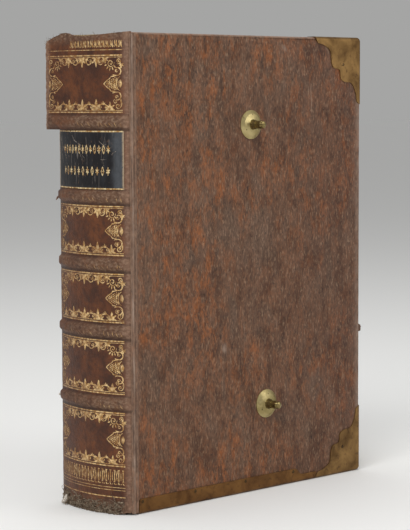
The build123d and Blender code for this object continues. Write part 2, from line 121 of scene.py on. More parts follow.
def drawTubes(name, kind, strokes, thickness, roundness):
    # strokes of (x, y, z, radius) points become one curve, then a mesh
    curve = bpy.data.curves.new(name, "CURVE")
    curve.dimensions = "3D"
    curve.bevel_depth = thickness
    curve.bevel_resolution = roundness
    curve.use_fill_caps = True
    for stroke in strokes:
        spline = curve.splines.new(kind)
        spline.points.add(len(stroke) - 1)
        if kind == "NURBS":
            spline.use_endpoint_u = True
            spline.order_u = 4
        for point, (x, y, z, radius) in zip(spline.points, stroke):
            point.co = (x, y, z, 1)
            point.radius = radius
    drawn = bpy.data.objects.new(name, curve)
    bpy.context.scene.collection.objects.link(drawn)
    pick(drawn)
    bpy.ops.object.convert(target="MESH")
    return bpy.context.active_object


def settle(piece, body, finish, replaced=(), smoothAngle=60):
    # place into the mesh, smooth shading, finish, and the body it moves with
    pick(piece)
    bpy.ops.object.transform_apply(location=True, rotation=True, scale=True)
    bpy.ops.object.shade_smooth_by_angle(angle=math.radians(smoothAngle))
    piece.data.materials.clear()
    piece.data.materials.append(finish)
    if body:
        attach(piece, body)
    if replaced:
        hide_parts(*replaced)


def paintWear(piece, wearAt, dirtAndShadeAt=None):
    # red is how far the face is worn, green how much dirt lies in it; on the back the green is painted shade in
    # the creases by the bands and in the hollows of the frayed tail
    layer = piece.data.attributes.new("wear", "FLOAT_COLOR", "POINT")
    for point, vertex in zip(layer.data, piece.data.vertices):
        dirtAndShade = dirtAndShadeAt(vertex.co) if dirtAndShadeAt else 0.0
        point.color = (clamp(wearAt(vertex.co)), clamp(dirtAndShade), 0.0, 1.0)


# node helpers

def tone(red, green, blue):
    # a colour as a screen shows it, 0 to 255, made linear
    def linear(value):
        value /= 255
        return value / 12.92 if value <= 0.04045 else ((value + 0.055) / 1.055) ** 2.4
    return (linear(red), linear(green), linear(blue), 1.0)


def shaderInputs(finish):
    return finish.node_tree.nodes["Principled BSDF"].inputs


def newFinish(name, roughness=0.6, metallic=0.0, gloss=0.3):
    finish = bpy.data.materials.new(name)
    finish.use_nodes = True
    shaderInputs(finish)["Roughness"].default_value = roughness
    shaderInputs(finish)["Metallic"].default_value = metallic
    shaderInputs(finish)["Specular IOR Level"].default_value = gloss
    return finish


def node(owner, kind, inputs, **settings):
    # each input is a plain value or the output of another node
    made = owner.node_tree.nodes.new(kind)
    for key, value in settings.items():
        setattr(made, key, value)
    for key, value in inputs.items():
        if isinstance(value, (float, int, tuple)):
            made.inputs[key].default_value = value
        else:
            owner.node_tree.links.new(value, made.inputs[key])
    return made


def objectSpace(finish, scale, move=(0, 0, 0)):
    coords = node(finish, "ShaderNodeTexCoord", {})
    inputs = {"Vector": coords.outputs["Object"], "Scale": scale, "Location": move}
    return node(finish, "ShaderNodeMapping", inputs).outputs["Vector"]


def objectAxis(finish, axis):
    coords = node(finish, "ShaderNodeTexCoord", {})
    return node(finish, "ShaderNodeSeparateXYZ", {"Vector": coords.outputs["Object"]}).outputs[axis]


def spread(finish, socket, low, high, toLow=0.0, toHigh=1.0):
    inputs = {"Value": socket, "From Min": low, "From Max": high, "To Min": toLow, "To Max": toHigh}
    return node(finish, "ShaderNodeMapRange", inputs, clamp=True).outputs["Result"]


def levels(finish, socket, atNone, atFull):
    return spread(finish, socket, 0, 1, atNone, atFull)


def clouds(finish, scale, low, high, detail=4.0, move=(0, 0, 0), distortion=0.0, grain=0.55):
    # noise over the object's own space, spread between two levels
    inputs = {"Vector": objectSpace(finish, scale, move), "Scale": 1.0, "Detail": detail, "Roughness": grain,
              "Distortion": distortion}
    return spread(finish, node(finish, "ShaderNodeTexNoise", inputs).outputs["Fac"], low, high)


def pores(finish, scale):
    inputs = {"Vector": objectSpace(finish, scale), "Scale": 1.0}
    texture = node(finish, "ShaderNodeTexVoronoi", inputs, feature="DISTANCE_TO_EDGE")
    return spread(finish, texture.outputs["Distance"], 0.0, 0.25)


def combine(finish, operation, first, second):
    return node(finish, "ShaderNodeMath", {0: first, 1: second}, operation=operation, use_clamp=True).outputs[0]


def blendTones(finish, factor, first, second):
    # either tone is a screen colour or a socket
    first, second = [tone(*value) if isinstance(value, tuple) else value for value in (first, second)]
    return node(finish, "ShaderNodeMix", {0: factor, 6: first, 7: second}, data_type="RGBA").outputs[2]


def stain(finish, base, stains):
    # each stain is its mask, the share of it that shows, and its colour
    for mask, share, colour in stains:
        base = blendTones(finish, combine(finish, "MULTIPLY", mask, share), base, colour)
    return base


def paintedSockets(finish):
    reader = node(finish, "ShaderNodeAttribute", {}, attribute_name="wear", attribute_type="GEOMETRY")
    parts = node(finish, "ShaderNodeSeparateColor", {"Color": reader.outputs["Color"]})
    return parts.outputs["Red"], parts.outputs["Green"]


def dress(finish, base, heights, distance=0.0005, strength=0.6, roughness=None, metallic=None):
    # what feeds the shader; each height socket of the bump has its own share
    total = None
    for socket, share in heights:
        part = combine(finish, "MULTIPLY", socket, share)
        total = part if total is None else combine(finish, "ADD", total, part)
    bump = node(finish, "ShaderNodeBump", {"Height": total, "Distance": distance, "Strength": strength})
    feeds = {"Base Color": base, "Normal": bump.outputs["Normal"], "Roughness": roughness, "Metallic": metallic}
    for key, socket in feeds.items():
        if socket is not None:
            finish.node_tree.links.new(socket, shaderInputs(finish)[key])
    return finish


# finishes

def makeCoverLeather(name, move, faded=0.0):
    finish = newFinish(name)
    far = move[0]
    cloud = clouds(finish, (62, 62, 30), 0.41, 0.6, detail=8, move=move, distortion=0.5, grain=0.68)
    rust = clouds(finish, (90, 90, 40), 0.46, 0.62, detail=9, move=(far + 5, 3, 8), distortion=0.4, grain=0.72)
    broad = clouds(finish, (13, 13, 8), 0.42, 0.58, detail=5, move=(7, 4, far), distortion=0.4)
    grey = clouds(finish, (24, 24, 12), 0.48, 0.64, detail=8, move=(far + 9, 1, 2), distortion=0.5, grain=0.66)
    grain = clouds(finish, (500, 500, 190), 0.4, 0.62, detail=3, move=(3, far, 1))
    pale = clouds(finish, (470, 470, 200), 0.54, 0.7, detail=3, move=(6, 2, far))
    pits = clouds(finish, (400, 400, 230), 0.6, 0.7, detail=3, move=(2, far, 6))
    scratches = clouds(finish, (300, 300, 26), 0.68, 0.76, detail=2, move=(1, 2, far), distortion=0.6)
    patchy = clouds(finish, (210, 210, 80), 0.36, 0.62, detail=6, move=(3, 9, 1))
    # handled most, and darkest, towards the fore-edge
    handled = spread(finish, objectAxis(finish, "X"), 40 * mm, 175 * mm, 0.0, 0.42)
    worn, dirtAndShade = paintedSockets(finish)
    base = stain(finish, blendTones(finish, cloud, (112, 76, 52), (81, 53, 36)), [
        (rust, levels(finish, broad, 0.9, 0.18), (150, 86, 40)),
        (grey, 0.5, (106, 87, 72)),
    ])
    if faded:
        base = blendTones(finish, faded, base, (152, 120, 98))
    base = stain(finish, base, [
        (handled, levels(finish, broad, 1.0, 0.5), (66, 34, 24)),
        (grain, 0.5, (52, 33, 22)),
        (pale, 0.42, (156, 126, 100)),
        (pits, 0.6, (40, 27, 20)),
        (scratches, 0.3, (154, 132, 112)),
        (worn, combine(finish, "ADD", patchy, 0.3), (152, 130, 114)),
        (dirtAndShade, 0.85, (44, 28, 22)),
    ])
    heights = [(pores(finish, (900, 900, 700)), 0.3), (grain, 0.35)]
    return dress(finish, base, heights, 0.0005, 0.55, roughness=levels(finish, cloud, 0.5, 0.7))


def makeSpineLeather():
    finish = newFinish("spineLeather")
    patches = clouds(finish, (75, 75, 75), 0.4, 0.64, detail=6, distortion=0.6)
    warm = clouds(finish, (40, 40, 40), 0.46, 0.64, detail=5, move=(4, 0, 2))
    grime = clouds(finish, (260, 260, 160), 0.5, 0.72, detail=5, move=(0, 6, 3))
    patchy = clouds(finish, (230, 230, 230), 0.34, 0.62, detail=7, move=(1, 1, 1))
    dark = clouds(finish, (200, 200, 260), 0.5, 0.64, detail=6, move=(5, 5, 5))
    dust = clouds(finish, (300, 300, 420), 0.46, 0.72, detail=6)
    grain = clouds(finish, (300, 300, 300), 0.35, 0.65, detail=5)
    worn, dirtAndShade = paintedSockets(finish)
    # rubbed paler beside both joints, and beside the front joint also a painted highlight on the ends of the
    # bands
    place = objectAxis(finish, "Y")
    frontSide = spread(finish, place, bookMiddle - 47 * mm, bookMiddle - 53 * mm)
    rearSide = spread(finish, place, bookMiddle + 49 * mm, bookMiddle + 54 * mm)
    joints = combine(finish, "MAXIMUM", frontSide, rearSide)
    beside = combine(finish, "MULTIPLY", joints, levels(finish, dust, 0.45, 1.0))
    base = stain(finish, blendTones(finish, patches, (88, 48, 25), (64, 35, 21)), [
        (warm, 0.55, (118, 67, 32)),
        (grime, 0.45, (42, 25, 18)),
        (worn, levels(finish, patchy, 0.4, 1.0), (106, 80, 62)),
        (dark, 0.5, (62, 38, 28)),
        (dust, combine(finish, "MULTIPLY", worn, 0.7), (152, 126, 104)),
        (beside, 0.8, (146, 114, 94)),
        # painted shade in the creases by the bands and in the hollows of the frayed tail
        (dirtAndShade, 0.62, (40, 22, 14)),
    ])
    heights = [(pores(finish, (800, 800, 800)), 0.25), (patches, 0.2), (grain, 0.45)]
    return dress(finish, base, heights, 0.0006, 0.6, roughness=levels(finish, worn, 0.46, 0.85))


def makeGold(name, rubbedAway, bright=(232, 198, 142)):
    finish = newFinish(name, gloss=0.5)
    rubbed = clouds(finish, (240, 240, 240), 0.5, 0.62, detail=6, move=(3, 2, 5))
    large = clouds(finish, (34, 34, 34), 0.52, 0.68, detail=4, move=(8, 2, 1))
    rubbed, large = combine(finish, "MULTIPLY", rubbed, 0.6), combine(finish, "MULTIPLY", large, 0.5)
    # duller towards the rear joint, where the back has been rubbed most
    rear = spread(finish, objectAxis(finish, "Y"), bookMiddle - 15 * mm, bookMiddle + 50 * mm,
                  rubbedAway, rubbedAway + 0.5)
    lost = combine(finish, "ADD", combine(finish, "MAXIMUM", rubbed, large), rear)
    shimmer = clouds(finish, (330, 330, 330), 0.41, 0.59, detail=4)
    base = blendTones(finish, lost, blendTones(finish, shimmer, bright, (168, 124, 66)), (116, 74, 44))
    return dress(finish, base, [(shimmer, 0.6)], 0.0002, 0.5, roughness=levels(finish, lost, 0.4, 0.6),
                 metallic=levels(finish, lost, 0.36, 0.0))


def makeLabelLeather():
    finish = newFinish("labelLeather", gloss=0.22)
    bloom = clouds(finish, (70, 70, 22), 0.46, 0.7, detail=6, distortion=0.5)
    scuffs = clouds(finish, (330, 330, 30), 0.6, 0.7, detail=4, distortion=0.7)
    flakes = clouds(finish, (260, 260, 200), 0.62, 0.7, detail=5, move=(0, 3, 0))
    mottled = clouds(finish, (210, 210, 120), 0.36, 0.64, detail=6, move=(2, 8, 1))
    worn, dirtAndShade = paintedSockets(finish)
    base = stain(finish, (27, 25, 27), [
        (bloom, 0.5, (50, 52, 56)),
        (scuffs, 0.6, (124, 116, 110)),
        (flakes, 0.6, (92, 70, 54)),
        (worn, levels(finish, mottled, 0.62, 1.0), (78, 81, 85)),
        (dirtAndShade, 0.8, (186, 162, 132)),
    ])
    return dress(finish, base, [(scuffs, 0.5), (bloom, 0.3)], 0.0003, 0.5,
                 roughness=levels(finish, bloom, 0.38, 0.6))


def makeBrass(name, bright, dull, stained, share, roughness):
    finish = newFinish(name, metallic=0.82)
    tarnish = clouds(finish, (46, 46, 46), 0.38, 0.66, detail=6, distortion=0.5)
    spots = clouds(finish, (170, 170, 170), 0.56, 0.7, detail=5, move=(4, 4, 4))
    brushed = clouds(finish, (520, 520, 60), 0.4, 0.6, detail=3)
    base = stain(finish, blendTones(finish, tarnish, bright, dull), [(spots, share, stained)])
    return dress(finish, base, [(tarnish, 0.3), (spots, 0.4), (brushed, 0.2)], 0.0003, 0.5,
                 roughness=levels(finish, tarnish, roughness - 0.08, roughness + 0.14))


def makePaper(name, pale, dark, lined=False):
    # lined paper shows the edges of the leaves, thin along the book's thickness
    finish = newFinish(name, roughness=0.85)
    ages = clouds(finish, (22, 22, 22), 0.3, 0.78, detail=6)
    foxing = clouds(finish, (120, 120, 120), 0.62, 0.74, detail=4, move=(5, 1, 3))
    stains = [(ages, 0.55, dark), (foxing, 0.5, (134, 92, 52))]
    heights = [(foxing, 0.2)]
    if lined:
        leaves = clouds(finish, (7, 2600, 7), 0.35, 0.65, detail=2)
        thick = clouds(finish, (10, 420, 10), 0.4, 0.6, detail=2, move=(2, 2, 2))
        stains += [(leaves, 0.55, (120, 96, 64)), (thick, 0.3, (96, 74, 50))]
        heights += [(leaves, 0.6), (thick, 0.4)]
    return dress(finish, stain(finish, pale, stains), heights, strength=0.7)


def makeThread(name, first, second, strands):
    finish = newFinish(name, roughness=0.8)
    twist = clouds(finish, (strands, strands, strands * 2.4), 0.42, 0.58, detail=2)
    dirtAndShade = clouds(finish, (80, 80, 80), 0.45, 0.7, detail=5)
    base = stain(finish, blendTones(finish, twist, first, second), [(dirtAndShade, 0.5, (84, 66, 48))])
    return dress(finish, base, [(twist, 0.8)], strength=0.7)


def makeWood():
    finish = newFinish("boardWood", roughness=0.7)
    rings = clouds(finish, (90, 90, 6), 0.36, 0.64, detail=6, distortion=1.0)
    base = blendTones(finish, rings, (150, 112, 74), (104, 72, 44))
    return dress(finish, base, [(rings, 0.7)], distance=0.0004)


frontLeather = makeCoverLeather("frontCoverLeather", (0, 0, 0))
backLeather = makeCoverLeather("backCoverLeather", (31, 7, 5))
jointLeather = makeCoverLeather("jointLeather", (4, 2, 9), 0.36)
spineFinish = makeSpineLeather()
goldFinish = makeGold("goldLeaf", 0.0)
rubbedGold = makeGold("rubbedGold", 0.5)
labelGilt = makeGold("labelGilt", -0.35, (240, 218, 168))
labelFinish = makeLabelLeather()
cornerBrass = makeBrass("cornerBrass", (140, 108, 64), (96, 70, 38), (66, 42, 26), 0.6, 0.44)
railBrass = makeBrass("railBrass", (122, 86, 46), (88, 58, 30), (52, 30, 18), 0.6, 0.42)
claspBrass = makeBrass("claspBrass", (178, 162, 114), (140, 124, 78), (86, 70, 42), 0.45, 0.38)
# the pins take a darker copy of the clasp brass: painted shade standing in for the dark surroundings they reflect
shadedPinBrass = makeBrass("shadedPinBrass", (132, 116, 74), (96, 82, 48), (58, 44, 26), 0.45, 0.27)
smallNails = makeBrass("smallNails", (46, 38, 22), (34, 26, 16), (24, 18, 12), 0.5, 0.55)
nailBrass = makeBrass("nailBrass", (84, 64, 38), (58, 42, 26), (36, 26, 18), 0.5, 0.4)
leafPaper = makePaper("leafEdges", (206, 184, 143), (184, 158, 116), lined=True)
pastePaper = makePaper("pastedownPaper", (204, 184, 146), (190, 166, 126))
liningPaper = makePaper("liningPaper", (176, 152, 112), (140, 114, 78))
cordThread = makeThread("cordThread", (176, 152, 112), (130, 104, 70), 420)
bandThread = makeThread("endbandThread", (190, 170, 130), (120, 84, 52), 620)
fibreThread = makeThread("looseFibre", (146, 130, 110), (80, 64, 50), 500)
paleCord = makeThread("paleCord", (232, 226, 216), (190, 178, 162), 700)
scuffTone = makeThread("labelScuffs", (150, 140, 130), (92, 84, 78), 300)
boardWood = makeWood()
print("finishes made")


# the back: one long arc with a tight arc at each shoulder, and a sprung piece at the head
backShape = {
    "halfThickness": (backHinge.y - frontHinge.y) / 2 / mm,
    "bulge": 19.0,
    "shoulder": 7.0,
    "jointGap": 0.3,
    "flapAngle": math.radians(-3.0),
    "tearHeight": 399.3,
    "flapEnd": 55.8,
}
shoulder = backShape["shoulder"]
tearHeight = backShape["tearHeight"]
shoulderPlace = backShape["halfThickness"] - shoulder
bulgePast = backShape["bulge"] - shoulder - backShape["jointGap"]
longReach = (shoulderPlace ** 2 + bulgePast ** 2) / (2 * bulgePast)
longRadius = longReach + shoulder
longCentre = longRadius - backShape["bulge"]
longAngle = math.asin(shoulderPlace / longReach)
longHalf = longRadius * longAngle
backHalf = longHalf + shoulder * (math.pi / 2 - longAngle)
flapStart = longRadius * backShape["flapAngle"]


def backPoint(across, height, lift=0.0, unsprung=False):
    # across is counted along the back from its middle, minus towards the front cover
    sprung = height > tearHeight and across > flapStart and not unsprung
    if sprung or abs(across) <= longHalf:
        turn = backShape["flapAngle"] if sprung else across / longRadius
        run = across - flapStart if sprung else 0.0
        x = longCentre - (longRadius + lift) * math.cos(turn) + run * math.sin(turn)
        y = (longRadius + lift) * math.sin(turn) + run * math.cos(turn)
    else:
        turn = longAngle + (abs(across) - longHalf) / shoulder
        x = -backShape["jointGap"] - (shoulder + lift) * math.cos(turn)
        y = math.copysign(shoulderPlace + (shoulder + lift) * math.sin(turn), across)
    return Vector((frontHinge.x + x * mm, bookMiddle + y * mm, height * mm))


bands = {
    "heights": (407.5, 330.25, 260.75, 191.25, 116.25),
    "halfHeight": 7.2,
    "rise": 3.9,
    "fade": 7.0,
    "hollow": 0.25,
    "nearJoint": -0.35,
}


def bandShare(across, height):
    share = 0.0
    for place in bands["heights"]:
        wander = 0.5 * rough(across, place, scale=0.05)
        off = (height - place - wander) / bands["halfHeight"]
        # the lower side slopes more softly than the upper one
        slope = 1 - ease(0.5, 1.1, off) if off > 0 else 1 - ease(0.22, 1.02, -off)
        share = max(share, slope)
    return share * ease(0.0, bands["fade"], longHalf + 1.5 - abs(across))


def backLift(across, height):
    # height of the leather's face over the plain curve
    hollow = 0.0
    for place in bands["heights"]:
        off = abs(height - place) / bands["halfHeight"]
        hollow = max(hollow, ease(1.7, 1.2, off) * ease(0.95, 1.15, off))
    lift = bands["rise"] * bandShare(across, height) * (1 + 0.1 * rough(across, height, 3, 0.12))
    lift -= bands["hollow"] * hollow
    lift += 0.28 * rough(across, height, 1, 0.045) + 0.12 * rough(across, height, 2, 0.3)
    # laid close beside the joints, where the covers fold back
    ending = ease(55.5, 59.5, abs(across))
    return min(lift, bands["rise"]) * (1 - ending) + bands["nearJoint"] * ending


# covering leather of the back; the torn ends are heights by the share of the half thickness
spineSheet = {
    "thickness": 1.5,
    "columns": 124,
    "fineStep": 0.95,
    "coarseStep": 2.3,
    "headTear": [(-1.02, 500.0), (-0.84, 499.0), (-0.57, 497.9), (-0.36, 496.8), (0.0, 496.0), (0.25, 496.8),
                 (0.33, 499.0), (0.48, 500.0), (0.56, 499.6), (0.67, 497.6), (0.78, 495.8), (0.955, 492.0),
                 (1.02, 486.0)],
    "tailFray": [(-1.02, 3.0), (-0.9, 2.4), (-0.8, 1.0), (-0.68, 0.3), (-0.5, 0.3), (-0.42, 2.8), (-0.3, 0.9),
                 (-0.15, 0.3), (0.2, 0.3), (0.3, 3.0), (0.45, 1.4), (0.55, 0.3), (0.7, 0.3), (0.8, 3.4),
                 (0.93, 1.5), (1.02, 5.0)],
    "headZone": 478.0,
    "tailZone": 14.0,
    "besideBand": 10.5,
    "tearGap": 0.12,
}


def acrossShare(across, height):
    return (backPoint(across, height).y - bookMiddle) / mm / backShape["halfThickness"]


def rowHeights():
    rows = [0.0]
    while rows[-1] < bookHeight:
        here = rows[-1]
        nearBand = min(abs(here - place) for place in bands["heights"]) < spineSheet["besideBand"]
        nearEnd = here < spineSheet["tailZone"] or here > spineSheet["headZone"]
        rows.append(here + (spineSheet["fineStep"] if nearBand or nearEnd else spineSheet["coarseStep"]))
    rows[-1] = bookHeight
    place = max(index for index, row in enumerate(rows) if row < tearHeight)
    rows[place] = tearHeight - spineSheet["tearGap"]
    rows[place + 1] = tearHeight + spineSheet["tearGap"]
    return rows


def tornHeight(across, height):
    # squeezes the rows near head and tail onto the torn edges
    head, tail = spineSheet["headZone"], spineSheet["tailZone"]
    if height > head:
        top = between(spineSheet["headTear"], acrossShare(across, height))
        top = min(top - 0.5 * abs(rough(across, 7, 4, 0.55)) - 0.4 * abs(rough(across, 1, 2, 1.4)), bookHeight)
        return head + (height - head) * (top - head) / (bookHeight - head)
    if height < tail:
        bottom = between(spineSheet["tailFray"], acrossShare(across, height))
        bottom = max(bottom + 1.4 * rough(across, 3, 1, 0.4) + 1.2 * rough(across, 2, 6, 1.1), 0.05)
        return tail - (tail - height) * (tail - bottom) / tail
    return height


def makeSpineSheet():
    rows = rowHeights()
    sheet = newSheet("spineLeather", spineSheet["columns"], len(rows) - 1)
    places = []
    for vertex in sheet.data.vertices:
        across = -vertex.co.x * backHalf
        height = rows[round((vertex.co.y + 1) / 2 * (len(rows) - 1))]
        if height > tearHeight and across > 0:
            tornEnd = backShape["flapEnd"] + 0.9 * rough(3, height, 0, 0.2) - 0.8 * abs(rough(5, height, 1, 0.6))
            across = across * tornEnd / backHalf
        settled = tornHeight(across, height)
        fray = ease(9.0, 0.0, settled) + ease(493.0, 500.0, settled)
        lift = backLift(across, height) - fray * (0.4 + 0.8 * abs(rough(across, settled, 5, 0.4)))
        vertex.co = backPoint(across, settled, lift)
        places.append((across, height))
    # open the tear between the sprung piece and the leather below it
    edit = bmesh.new()
    edit.from_mesh(sheet.data)
    torn = []
    for face in edit.faces:
        corners = [places[vertex.index] for vertex in face.verts]
        heights = [height for across, height in corners]
        if min(heights) < tearHeight < max(heights) and min(corners)[0] > flapStart + 4:
            torn.append(face)
    bmesh.ops.delete(edit, geom=torn, context="FACES_ONLY")
    edit.to_mesh(sheet.data)
    edit.free()
    thicken(sheet, spineSheet["thickness"])

    def wearAt(place):
        height = place.z / mm
        y = (place.y - bookMiddle) / mm
        offBand = min(abs(height - middle) for middle in bands["heights"]) / bands["halfHeight"]
        worn = 1.0 - ease(0.75, 1.25, offBand)
        # the bands' wear grows towards the front joint, partly as a painted highlight on their front ends
        worn *= clamp(0.7 - 0.01 * y + 0.5 * rough(y, height, 3, 0.05))
        worn = max(worn, ease(19.0, 7.0, height), 0.75 * ease(484.0, 497.0, height))
        worn = max(worn, 0.7 * ease(49.5, 55.0, abs(y)))
        return max(worn, 0.9 * ease(46.0, 54.0, y)) if height > tearHeight else worn

    # painted shade: darker in the creases just above and below each band and over each band's lower slope
    def dirtAndShadeAt(place):
        height = place.z / mm
        creaseShade = 0.0
        for middle in bands["heights"]:
            below = middle - bands["halfHeight"] - height
            above = height - middle - bands["halfHeight"]
            creaseShade = max(creaseShade, ease(-2.8, 0.2, below) * ease(2.4, 1.3, below))
            creaseShade = max(creaseShade, 0.6 * ease(-1.4, 0.2, above) * ease(1.6, 0.8, above))
        # painted shade in the hollows of the frayed tail, in patches up to 9 mm from the foot
        frayed = ease(9.0, 3.0, height) * ease(0.05, 0.4, rough(place.y / mm, height, 3, 0.22))
        return max(creaseShade, 0.8 * frayed)

    paintWear(sheet, wearAt, dirtAndShadeAt)
    settle(sheet, "book_block", spineFinish, ["spine_leather"], smoothAngle=55)


makeSpineSheet()
print("spine leather shaped")


# title label, pasted over the second panel
labelShape = {
    "half": 52.4,
    "low": 338.25,
    "high": 398.5,
    "thickness": 0.75,
    "columns": 84,
    "rows": 52,
    "seat": 0.5,
    "ruleEnd": 51.6,
    "wordHalf": 37.5,
    "wordRows": ((379.4, 13), (357.0, 11)),
}


def labelLift(across, height):
    edge = min(labelShape["half"] - abs(across), height - labelShape["low"], labelShape["high"] - height)
    curl = 0.35 * ease(2.2, 0.0, edge) * max(0.0, rough(across, height, 9, 0.11))
    chip = 0.2 * ease(0.35, 0.6, rough(across, height, 4, 0.5))
    return max(backLift(across, height), -0.2) + labelShape["seat"] + curl - chip


def makeLabel():
    sheet = newSheet("titleLabel", labelShape["columns"], labelShape["rows"])
    low, high = labelShape["low"], labelShape["high"]
    for vertex in sheet.data.vertices:
        gridX, gridY = vertex.co.x, vertex.co.y
        across = -gridX * labelShape["half"]
        height = (low + high) / 2 + gridY * (high - low) / 2
        nibble = 0.5 * rough(height, 3, 1, 0.35) + 0.3 * rough(height, 8, 2, 1.1)
        across -= math.copysign(abs(nibble), across) * ease(0.9, 1.0, abs(gridX))
        height -= math.copysign(0.25 * abs(rough(across, 5, 3, 0.3)), gridY) * ease(0.9, 1.0, abs(gridY))
        vertex.co = backPoint(across, height, labelLift(across, height))
    thicken(sheet, labelShape["thickness"])

    def wearAt(place):
        y = (place.y - bookMiddle) / mm
        height = place.z / mm
        y += 3.2 * rough(y, height, 2, 0.1) + 1.6 * rough(y, height, 4, 0.45)
        return max(0.9 * ease(-35, -44, y), 0.3 * ease(4, 0, min(height - low + 0.25, high + 0.2 - height)))

    def edgeAt(place):
        # the pale paper core shows along the two upright edges
        return 0.95 * ease(49.3, 49.9, abs(place.y - bookMiddle) / mm)

    paintWear(sheet, wearAt, edgeAt)
    settle(sheet, "book_block", labelFinish, ["title_label"], smoothAngle=40)


makeLabel()
print("label pasted")


# gold tooling: strokes drawn flat, each a list of (across, height, half width), then laid on the back
goldShape = {
    "half": 51.2,
    "seat": 0.1,
    "flatness": 0.22,
    "step": 1.1,
    "fine": 0.36,
    "bold": 0.66,
    "markPitch": 5.0,
    "headMarks": (482.6, 492.0),
    "tailMarks": (30.0, 46.6),
    "sprungPanel": (416.0, 477.1),
    "panels": ((269.2, 322.4), (199.6, 252.6), (125.2, 183.2), (49.5, 108.2)),
}
goldHalf, fine, bold = goldShape["half"], goldShape["fine"], goldShape["bold"]


def line(start, end, width):
    count = max(2, int(math.dist(start, end) / goldShape["step"]) + 1)
    start, run = Vector(start), Vector(end) - Vector(start)
    return [(*(start + run * step / count), width) for step in range(count + 1)]


def bow(centre, radius, start, end, width, endRadius=None, squeeze=1.0):
    # part of a turn between two angles in degrees, its radius running on to endRadius
    endRadius = endRadius or radius
    count = max(5, int(abs(math.radians(end - start)) * max(radius, endRadius) / 0.7))
    points = []
    for step in range(count + 1):
        share = step / count
        turn = math.radians(start + share * (end - start))
        reach = radius + share * (endRadius - radius)
        swell = width * (0.35 + 0.65 * math.sin(math.pi * min(1.0, share * 0.9 + 0.08)))
        points.append((centre[0] + reach * math.cos(turn), centre[1] + reach * math.sin(turn) * squeeze, swell))
    return points


def leaf(root, length, angle, width, bend=0.0):
    # a leaf as one fat stroke, pointed at both ends
    points = []
    for step in range(7):
        share = step / 6
        turn = math.radians(angle + bend * share)
        swell = max(0.06, width * math.sin(math.pi * (0.12 + 0.83 * share)))
        reach = length * share
        points.append((root[0] + reach * math.cos(turn), root[1] + reach * math.sin(turn), swell))
    return points


def scroll(eye, radius, start, turns, width, hand=1):
    # a curl that opens out from its eye
    middle = [(eye[0], eye[1], width * 1.3), (eye[0] + 0.05, eye[1], width * 1.3)]
    return [bow(eye, radius * 0.16, start, start + hand * 360 * turns, width, radius), middle]


def dot(place, size):
    steps = ((-0.8, 0.6), (-0.3, 1.0), (0.3, 1.0), (0.8, 0.6))
    return [(place[0] + size * off, place[1], size * fat) for off, fat in steps]


def placed(strokes, wide=1.0, tall=1.0, across=0.0, height=0.0):
    # stretched or mirrored about the middle, then moved
    return [[(x * wide + across, y * tall + height, width) for x, y, width in stroke] for stroke in strokes]


def lobes(root, size, up):
    # three broad lobes and two low leaves rising from one root
    strokes = []
    for turns, length, width in (((0,), 1.0, 0.17), ((33, -33), 0.82, 0.14), ((66, -66), 0.7, 0.1)):
        strokes += [leaf(root, size * length, 90 * up + turn, size * width, turn * 0.5) for turn in turns]
    return strokes


def sideStrap(width):
    # upper arm of the pointed strap at the right: a slope with a notch, then a scroll bulging outwards
    slope = [(29.6, 0.0), (33.4, 3.2), (37.0, 5.6), (38.2, 7.4), (41.0, 7.6), (44.2, 8.6)]
    strokes = [line(start, end, width) for start, end in zip(slope, slope[1:])]
    strokes.append(bow((45.4, 12.8), 4.4, -112, 118, width * 1.35, 3.6))
    strokes += scroll((44.6, 13.6), 1.9, -30, 1.1, width)
    strokes.append(leaf((43.6, 8.8), 3.6, 205, width * 1.5, -40))
    strokes.append(leaf((49.6, 15.6), 3.4, 70, width * 1.5, 30))
    return strokes


def hangingLace(top):
    # right half of the lace that hangs from the top, with the corner scrolls beside the edge
    side = lobes((20.0, top), 9.4, -1) + lobes((31.6, top), 6.0, -1)
    for place in (10.2, 26.0):
        side.append(bow((place, top - 2.6), 4.2, 150, 395, fine * 1.5, 3.2, squeeze=1.1))
        side += scroll((place + 1.0, top - 3.0), 1.7, 60, 1.1, fine * 1.1)
        side += lobes((place - 3.4, top), 4.6, -1)
    side += scroll((38.0, top - 5.2), 4.2, 190, 1.5, fine * 1.4)
    side += scroll((46.8, top - 3.2), 3.2, 20, 1.4, fine * 1.3, -1)
    side.append(bow((42.8, top - 7.0), 6.8, -30, 60, fine * 1.6, 5.8))
    for angle in (200, 232, 262, 292, 322):
        turn = math.radians(angle)
        side.append(leaf((38.0 + 4.4 * math.cos(turn), top - 5.2 + 4.4 * math.sin(turn)), 3.4, angle, 0.72))
    return side + lobes((50.0, top - 6.0), 4.4, -1)


def standingLace(foot):
    # right half of the lace that stands on the foot
    side = lobes((19.6, foot), 10.4, 1) + lobes((37.0, foot), 8.2, 1)
    for place in (9.8, 28.8):
        side.append(bow((place, foot + 1.4), 5.2, 20, 160, fine * 1.6, squeeze=0.8))
        side += scroll((place - 3.2, foot + 2.6), 1.9, 150, 1.2, fine * 1.2, -1)
        side += scroll((place + 3.2, foot + 2.6), 1.9, 30, 1.2, fine * 1.2)
        side += lobes((place, foot + 4.8), 3.8, 1)
    side += scroll((46.4, foot + 3.6), 3.4, -100, 1.4, fine * 1.4)
    side += scroll((43.4, foot + 8.2), 2.4, 200, 1.3, fine * 1.2, -1)
    return side + [bow((44.4, foot + 6.2), 6.2, -60, 62, fine * 1.5, 5.4)]


